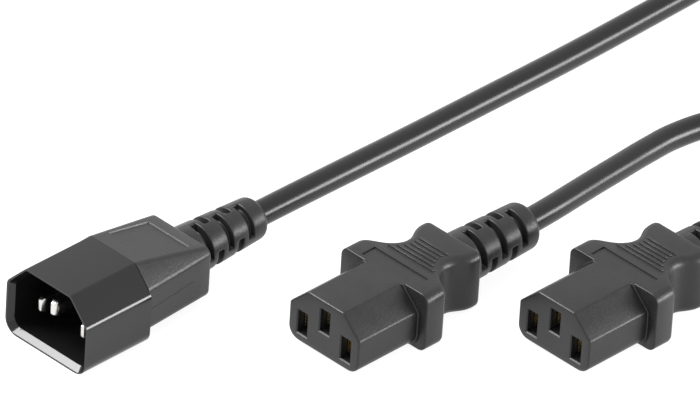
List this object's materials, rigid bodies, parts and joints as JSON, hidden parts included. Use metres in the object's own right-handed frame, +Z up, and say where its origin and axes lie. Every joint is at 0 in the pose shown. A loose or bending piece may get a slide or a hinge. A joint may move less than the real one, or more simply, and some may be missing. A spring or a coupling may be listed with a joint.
{
  "type": "power cord splitter",
  "caption": "Mains extension lead that splits one three-pin plug into two sockets on short legs, with the spare lead wound in a tied coil.",
  "frame": {"origin": "centre of the flat underside of the plug's shroud, on the surface that the lead lies on", "axes": "+Z up from the surface; the plug's pins and both sockets' slots open towards -Y, so +Y runs back along the leads; +X from the plug towards the sockets"},
  "size_m": [0.1178, 0.3771, 0.02],
  "materials": {
    "hard_black": "glossy moulded nylon",
    "soft_black": "soft moulded vinyl, satin",
    "sheath": "extruded vinyl sheath, satin",
    "carrier": "moulded nylon, matt",
    "nickel": "nickel-plated brass",
    "brass": "bare spring brass",
    "tie": "woven hook-and-loop strap",
    "line_core": "brown core insulation",
    "neutral_core": "blue core insulation",
    "earth_core": "green core insulation with a yellow stripe"
  },
  "bodies": {
    "root": {"plug_shroud": "hard_black", "plug_body": "soft_black", "plug_pin_line": "nickel", "plug_pin_neutral": "nickel", "plug_pin_earth": "nickel", "plug_core_line": "line_core", "plug_core_neutral": "neutral_core", "plug_core_earth": "earth_core", "socket_a_body": "soft_black", "socket_a_contact_carrier": "carrier", "socket_a_contact_line": "brass", "socket_a_contact_neutral": "brass", "socket_a_contact_earth": "brass", "socket_a_core_line": "line_core", "socket_a_core_neutral": "neutral_core", "socket_a_core_earth": "earth_core", "socket_b_body": "soft_black", "socket_b_contact_carrier": "carrier", "socket_b_contact_line": "brass", "socket_b_contact_neutral": "brass", "socket_b_contact_earth": "brass", "socket_b_core_line": "line_core", "socket_b_core_neutral": "neutral_core", "socket_b_core_earth": "earth_core", "junction_body": "soft_black", "junction_splice_line": "nickel", "junction_splice_neutral": "nickel", "junction_splice_earth": "nickel", "junction_trunk_core_line": "line_core", "junction_trunk_core_neutral": "neutral_core", "junction_trunk_core_earth": "earth_core", "junction_leg_a_core_line": "line_core", "junction_leg_a_core_neutral": "neutral_core", "junction_leg_a_core_earth": "earth_core", "junction_leg_b_core_line": "line_core", "junction_leg_b_core_neutral": "neutral_core", "junction_leg_b_core_earth": "earth_core", "trunk_lead": "sheath", "trunk_tail": "sheath", "leg_a_lead": "sheath", "leg_b_lead": "sheath", "trunk_coil": "sheath", "coil_tie": "tie"}
  },
  "joints": []
}
